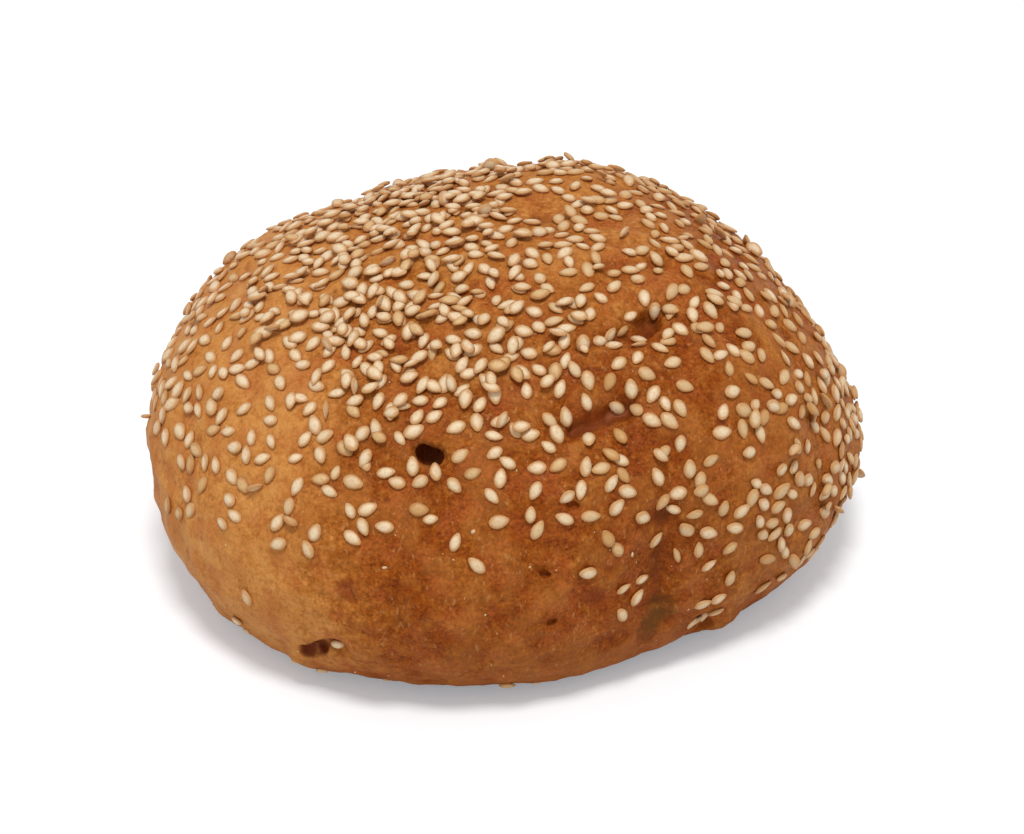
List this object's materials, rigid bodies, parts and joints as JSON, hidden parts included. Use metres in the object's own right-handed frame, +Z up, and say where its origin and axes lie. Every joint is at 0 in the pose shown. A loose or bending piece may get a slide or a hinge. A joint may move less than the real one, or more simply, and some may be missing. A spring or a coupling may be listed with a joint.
{
  "type": "sesame bread roll",
  "caption": "Round baked bread roll, a squat uneven dome with a flat underside, crust hollows, folds and small pores, made to carry scattered sesame seeds.",
  "frame": {"origin": "middle of the bounding box of the roll, at the height of the flat underside it rests on", "axes": "+Z up from the underside to the crown; the front, with the torn bubble and the bare lower crust, faces -Y; +X to the right as seen from the front"},
  "size_m": [0.1036, 0.0956, 0.0525],
  "materials": {
    "crust": null
  },
  "bodies": {
    "root": {"roll": "crust"}
  },
  "joints": []
}
